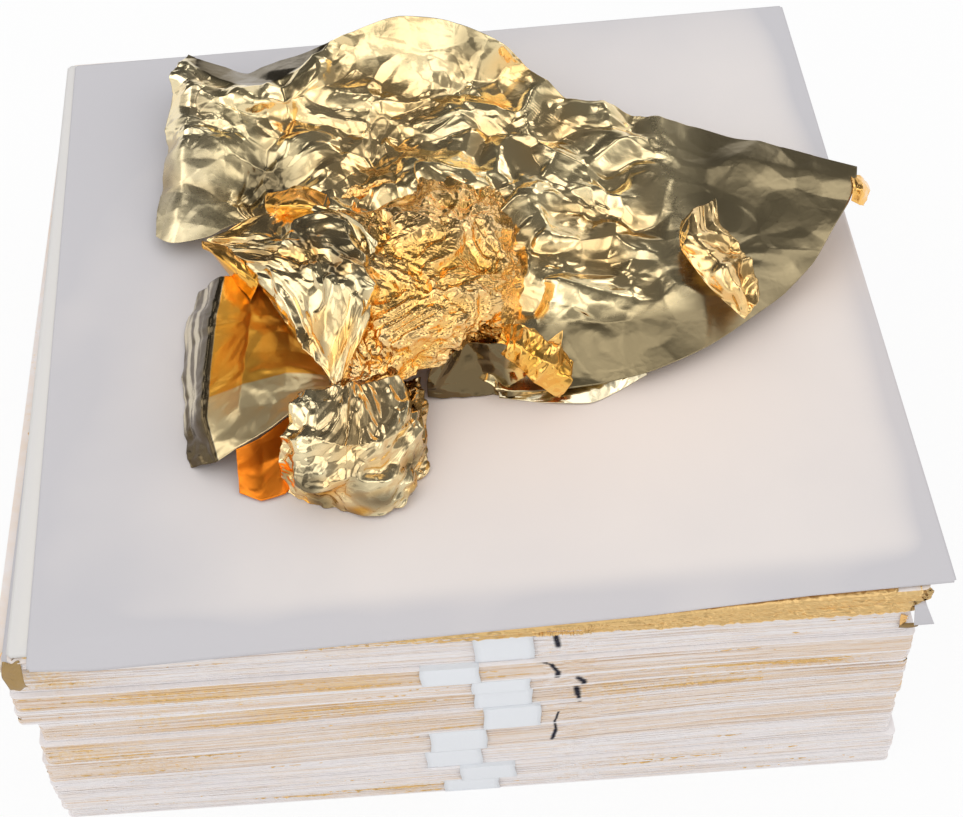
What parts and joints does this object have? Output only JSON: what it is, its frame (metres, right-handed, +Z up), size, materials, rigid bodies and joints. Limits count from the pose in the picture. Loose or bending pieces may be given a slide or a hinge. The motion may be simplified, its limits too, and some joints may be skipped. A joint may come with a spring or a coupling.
{
  "type": "gold leaf booklet",
  "caption": "Stack of banded packets of gold leaf and tissue, with an opened bundle, a cover sheet and a crumpled loose leaf on top.",
  "frame": {"origin": "under the middle of the whole stack's box, on the surface it lies on", "axes": "+Z up through the stack, +X to the right along the front edge, +Y to the back"},
  "size_m": [0.1514, 0.1488, 0.071],
  "materials": {
    "tissue_paper": "uncoated tissue with gold dust at its edges",
    "cover_paper": "smooth uncoated tissue",
    "band_paper": "smooth bluish white wrapping paper",
    "gold_leaf": "bright beaten metal leaf"
  },
  "bodies": {
    "packet_01": {"packet_01_papers": "tissue_paper", "packet_01_leaves": "gold_leaf", "packet_01_band": "band_paper"},
    "packet_02": {"packet_02_papers": "tissue_paper", "packet_02_leaves": "gold_leaf"},
    "packet_03": {"packet_03_papers": "tissue_paper", "packet_03_leaves": "gold_leaf"},
    "packet_04": {"packet_04_papers": "tissue_paper", "packet_04_leaves": "gold_leaf"},
    "packet_05": {"packet_05_papers": "tissue_paper", "packet_05_leaves": "gold_leaf"},
    "packet_06": {"packet_06_papers": "tissue_paper", "packet_06_leaves": "gold_leaf"},
    "packet_07": {"packet_07_papers": "tissue_paper", "packet_07_leaves": "gold_leaf"},
    "packet_08": {"packet_08_papers": "tissue_paper", "packet_08_leaves": "gold_leaf"},
    "packet_09": {"packet_09_papers": "tissue_paper", "packet_09_leaves": "gold_leaf", "torn_flake": "gold_leaf"},
    "band_02": {"packet_02_band": "band_paper"},
    "band_03": {"packet_03_band": "band_paper"},
    "band_04": {"packet_04_band": "band_paper"},
    "band_05": {"packet_05_band": "band_paper"},
    "band_06": {"packet_06_band": "band_paper"},
    "band_07": {"packet_07_band": "band_paper"},
    "band_08": {"packet_08_band": "band_paper"},
    "band_09": {"packet_09_band": "band_paper"},
    "open_bundle": {"open_papers": "tissue_paper", "open_leaves": "gold_leaf", "stray_sheet": "tissue_paper", "turned_leaf": "gold_leaf"},
    "under_sheet": {"under_sheet": "tissue_paper"},
    "cover_sheet": {"cover_sheet": "cover_paper"},
    "crumpled_leaf": {"crumpled_leaf": "gold_leaf"}
  },
  "joints": [
    {"name": "packet_02_lift", "type": "slide", "parent": "packet_01", "child": "packet_02", "axis": [0, 0, 1], "range_m": [0, 0.03]},
    {"name": "packet_03_lift", "type": "slide", "parent": "packet_02", "child": "packet_03", "axis": [0, 0, 1], "range_m": [0, 0.03]},
    {"name": "packet_04_lift", "type": "slide", "parent": "packet_03", "child": "packet_04", "axis": [0, 0, 1], "range_m": [0, 0.03]},
    {"name": "packet_05_lift", "type": "slide", "parent": "packet_04", "child": "packet_05", "axis": [0, 0, 1], "range_m": [0, 0.03]},
    {"name": "packet_06_lift", "type": "slide", "parent": "packet_05", "child": "packet_06", "axis": [0, 0, 1], "range_m": [0, 0.03]},
    {"name": "packet_07_lift", "type": "slide", "parent": "packet_06", "child": "packet_07", "axis": [0, 0, 1], "range_m": [0, 0.03]},
    {"name": "packet_08_lift", "type": "slide", "parent": "packet_07", "child": "packet_08", "axis": [0, 0, 1], "range_m": [0, 0.03]},
    {"name": "packet_09_lift", "type": "slide", "parent": "packet_08", "child": "packet_09", "axis": [0, 0, 1], "range_m": [0, 0.03]},
    {"name": "band_02_slide", "type": "slide", "parent": "packet_02", "child": "band_02", "axis": [0.9999, 0.0122, 0], "range_m": [-0.0658, 0.0623]},
    {"name": "band_03_slide", "type": "slide", "parent": "packet_03", "child": "band_03", "axis": [0.9999, 0.014, 0], "range_m": [-0.0606, 0.0669]},
    {"name": "band_04_slide", "type": "slide", "parent": "packet_04", "child": "band_04", "axis": [0.9998, 0.0209, 0], "range_m": [-0.0613, 0.0662]},
    {"name": "band_05_slide", "type": "slide", "parent": "packet_05", "child": "band_05", "axis": [0.9997, 0.0262, 0], "range_m": [-0.0696, 0.0575]},
    {"name": "band_06_slide", "type": "slide", "parent": "packet_06", "child": "band_06", "axis": [0.9998, 0.0209, 0], "range_m": [-0.0677, 0.0588]},
    {"name": "band_07_slide", "type": "slide", "parent": "packet_07", "child": "band_07", "axis": [0.9999, 0.0105, 0], "range_m": [-0.0703, 0.0582]},
    {"name": "band_08_slide", "type": "slide", "parent": "packet_08", "child": "band_08", "axis": [1, 0.007, 0], "range_m": [-0.0619, 0.0666]},
    {"name": "band_09_slide", "type": "slide", "parent": "packet_09", "child": "band_09", "axis": [1, 0.0052, 0], "range_m": [-0.0709, 0.0565]},
    {"name": "open_bundle_lift", "type": "slide", "parent": "packet_09", "child": "open_bundle", "axis": [0, 0, 1], "range_m": [0, 0.03]},
    {"name": "under_sheet_lift", "type": "slide", "parent": "open_bundle", "child": "under_sheet", "axis": [0, 0, 1], "range_m": [0, 0.03]},
    {"name": "cover_sheet_lift", "type": "slide", "parent": "under_sheet", "child": "cover_sheet", "axis": [0, 0, 1], "range_m": [0, 0.03]},
    {"name": "crumpled_leaf_lift", "type": "slide", "parent": "cover_sheet", "child": "crumpled_leaf", "axis": [0, 0, 1], "range_m": [0, 0.03]}
  ]
}
